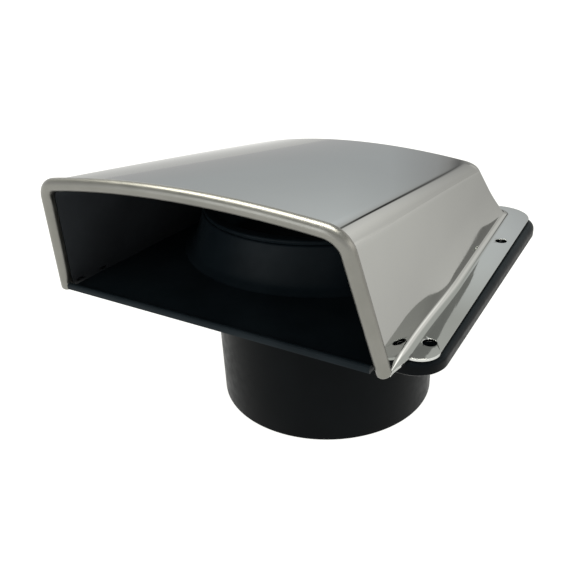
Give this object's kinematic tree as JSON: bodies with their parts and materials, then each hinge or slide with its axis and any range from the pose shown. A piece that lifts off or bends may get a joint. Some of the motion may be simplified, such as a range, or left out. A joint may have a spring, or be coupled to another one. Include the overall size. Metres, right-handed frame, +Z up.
{
  "type": "cowl vent",
  "caption": "Low-profile deck cowl vent: polished pressed hood with a wide forward mouth on a black moulded base, with a round hose spigot below the deck.",
  "frame": {"origin": "middle of the underside of the whole vent's bounding box, level with the lower end of the hose spigot", "axes": "+Z up through the deck, the mouth faces -Y, X across the mouth"},
  "size_m": [0.161, 0.1704, 0.1268],
  "materials": {
    "polished_steel": "mirror-polished stainless sheet",
    "satin_steel": "satin, dressed by hand along its length",
    "liner_plastic": "satin moulded black",
    "base_plastic": "satin moulded black",
    "gasket_rubber": "matte black sheet rubber"
  },
  "bodies": {
    "root": {"hood_shell": "polished_steel", "mouth_rim": "satin_steel", "duct_liner": "liner_plastic", "base_plate": "base_plastic", "hose_spigot": "base_plastic", "deck_gasket": "gasket_rubber"}
  },
  "joints": []
}
